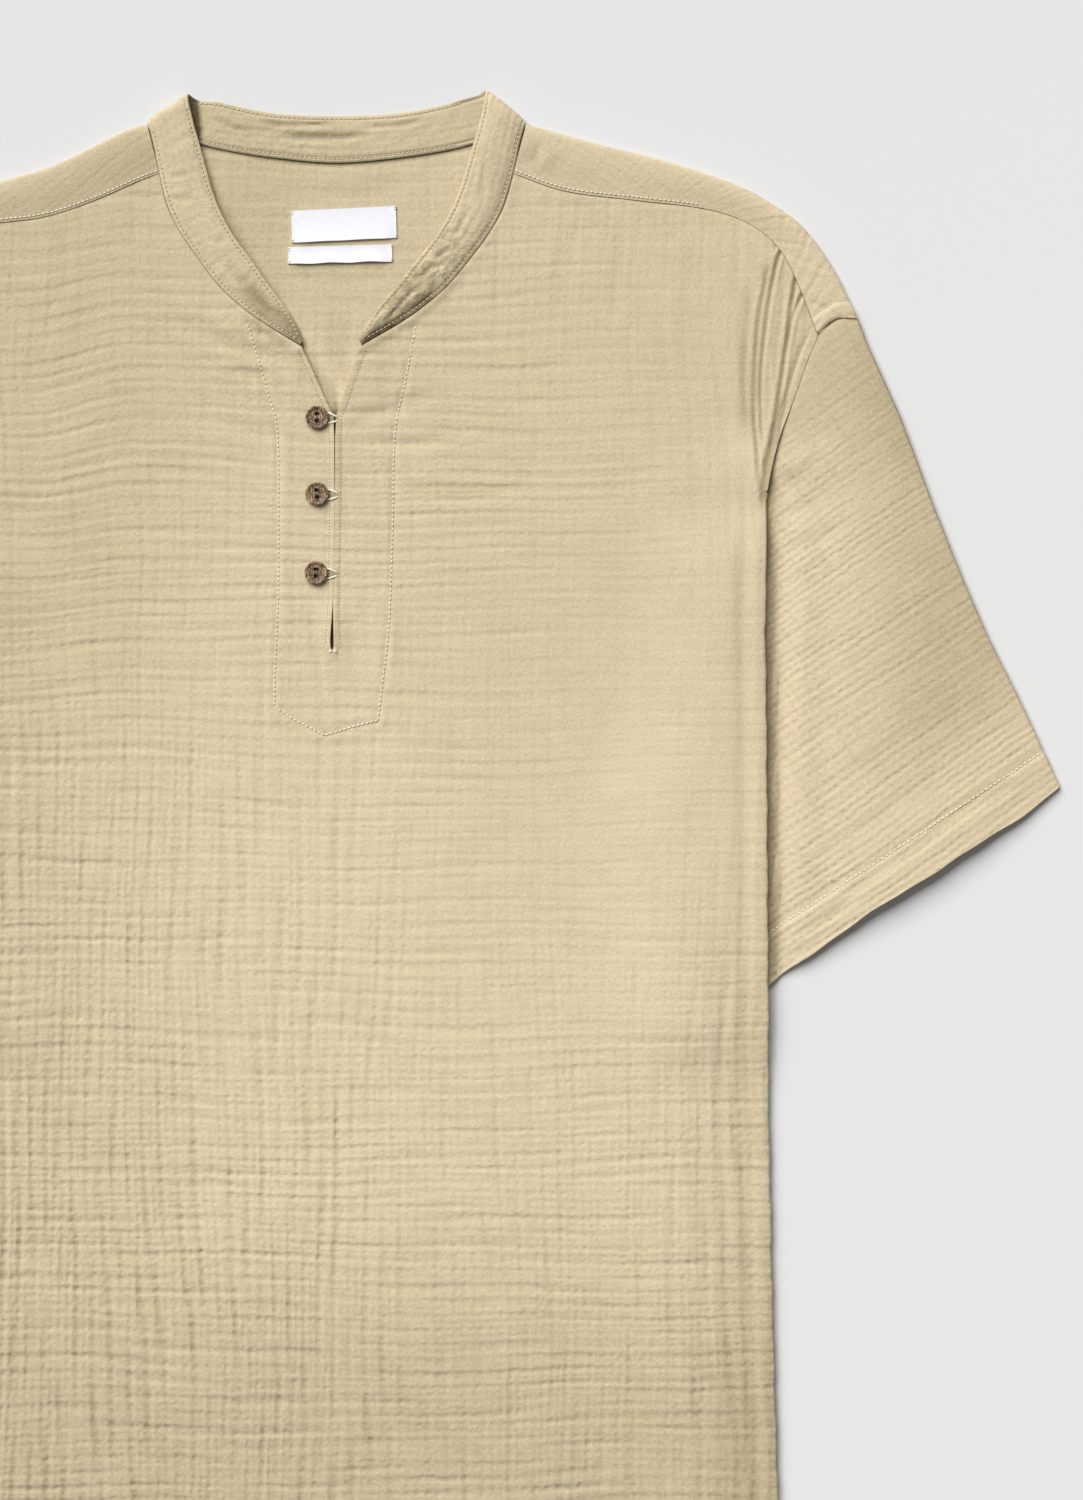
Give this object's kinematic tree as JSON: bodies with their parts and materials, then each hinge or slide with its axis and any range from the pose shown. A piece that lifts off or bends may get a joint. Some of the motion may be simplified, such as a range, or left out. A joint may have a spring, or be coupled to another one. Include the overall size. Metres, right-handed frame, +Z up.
{
  "type": "mandarin collar shirt",
  "caption": "Short-sleeved popover shirt with a band collar and a looped half placket, in crinkled double gauze, laid flat on its back.",
  "frame": {"origin": "middle of the outline, on the surface the shirt lies on", "axes": "+X to the right as seen from above, +Y from the hem to the collar, +Z up through the layers"},
  "size_m": [0.7848, 0.7804, 0.0088],
  "materials": {
    "gauze": "crinkled cotton double gauze, pale khaki, matt",
    "coconut_shell": "turned coconut shell, satin",
    "loop_cord": "thin twisted cotton cord, cream",
    "label_satin": "woven satin ribbon, white"
  },
  "bodies": {
    "root": {"back": "gauze", "front": "gauze", "sleeve_right": "gauze", "sleeve_left": "gauze", "collar": "gauze", "button_1": "coconut_shell", "button_2": "coconut_shell", "button_3": "coconut_shell", "loop_1": "loop_cord", "loop_2": "loop_cord", "loop_3": "loop_cord", "label_main": "label_satin", "label_size": "label_satin"}
  },
  "joints": []
}
